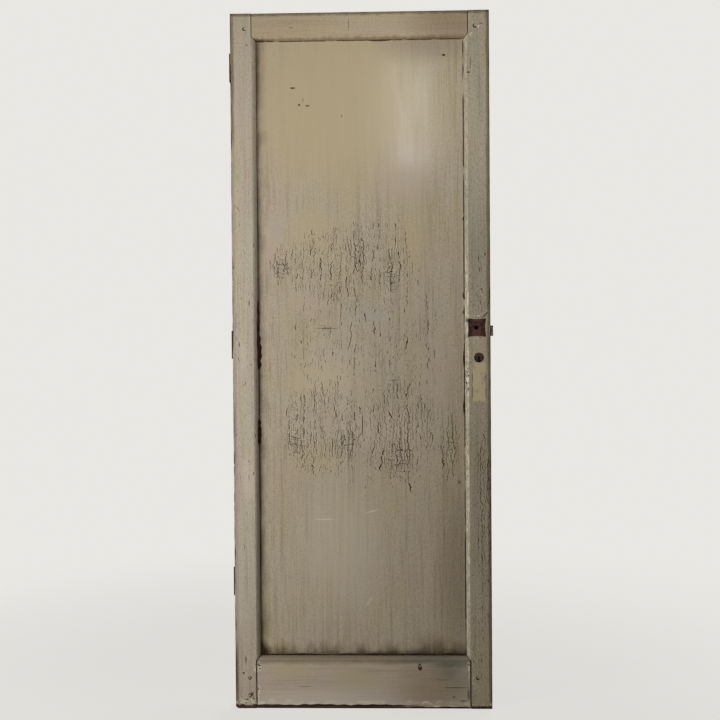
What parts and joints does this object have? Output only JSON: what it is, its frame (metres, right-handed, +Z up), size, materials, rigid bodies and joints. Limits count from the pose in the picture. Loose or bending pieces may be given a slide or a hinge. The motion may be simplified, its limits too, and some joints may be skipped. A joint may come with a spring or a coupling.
{
  "type": "interior door",
  "caption": "Old painted door leaf: pegged stiles and rails with stuck moulding round a flat panel, butt hinges on one edge and a mortise lock with latch and dead bolt in the other.",
  "frame": {"origin": "middle of the leaf's bottom edge", "axes": "+X from the hinge edge to the lock edge, +Y from the pictured face to the back, +Z up"},
  "size_m": [0.7507, 0.0505, 1.985],
  "materials": {
    "frame_paint": "old cream oil paint, crackled and chipped",
    "panel_paint": "old cream oil paint, crackled and chipped",
    "peg_wood": "painted over, edges open",
    "hinge_iron": "rusted, with old paint",
    "screw_steel": "dull, rusted",
    "lock_iron": "rusted",
    "bolt_steel": "worn, brown with age",
    "spring_steel": "blued"
  },
  "bodies": {
    "frame_side": {"top_hinge_frame_leaf": "hinge_iron", "top_hinge_pin": "hinge_iron", "middle_hinge_frame_leaf": "hinge_iron", "middle_hinge_pin": "hinge_iron", "bottom_hinge_frame_leaf": "hinge_iron", "bottom_hinge_pin": "hinge_iron"},
    "door": {"hinge_stile": "frame_paint", "lock_stile": "frame_paint", "top_rail": "frame_paint", "bottom_rail": "frame_paint", "panel": "panel_paint", "tenon_pegs": "peg_wood", "top_hinge_door_leaf": "hinge_iron", "middle_hinge_door_leaf": "hinge_iron", "bottom_hinge_door_leaf": "hinge_iron", "hinge_screws": "screw_steel", "forend_screws": "screw_steel", "lock_cover_screws": "screw_steel", "forend_rivets": "screw_steel", "lock_case": "lock_iron", "lock_cover": "lock_iron", "lock_forend": "lock_iron", "latch_spring": "spring_steel", "bolt_spring": "spring_steel"},
    "follower": {"follower": "lock_iron"},
    "latch": {"latch_bolt": "bolt_steel"},
    "dead_bolt": {"dead_bolt": "bolt_steel"}
  },
  "joints": [
    {"name": "door_swing", "type": "hinge", "parent": "frame_side", "child": "door", "pos_m": [-0.3687, 0.0255, 0], "axis": [0, 0, 1], "range_deg": [0, 170]},
    {"name": "follower_turn", "type": "hinge", "parent": "door", "child": "follower", "pos_m": [0.3275, 0, 1.088], "axis": [0, 1, 0], "range_deg": [0, 25], "stiffness_Nm_per_rad": 0.5, "springref_deg": -11.46, "deforming": ["latch_spring"]},
    {"name": "latch_slide", "type": "slide", "parent": "door", "child": "latch", "axis": [1, 0, 0], "range_m": [-0.0094, 0]},
    {"name": "dead_bolt_slide", "type": "slide", "parent": "door", "child": "dead_bolt", "axis": [1, 0, 0], "range_m": [0, 0.012]}
  ],
  "couplings": [
    {"joint": "follower_turn", "follows": "latch_slide", "rad_per_m": -46.3}
  ]
}
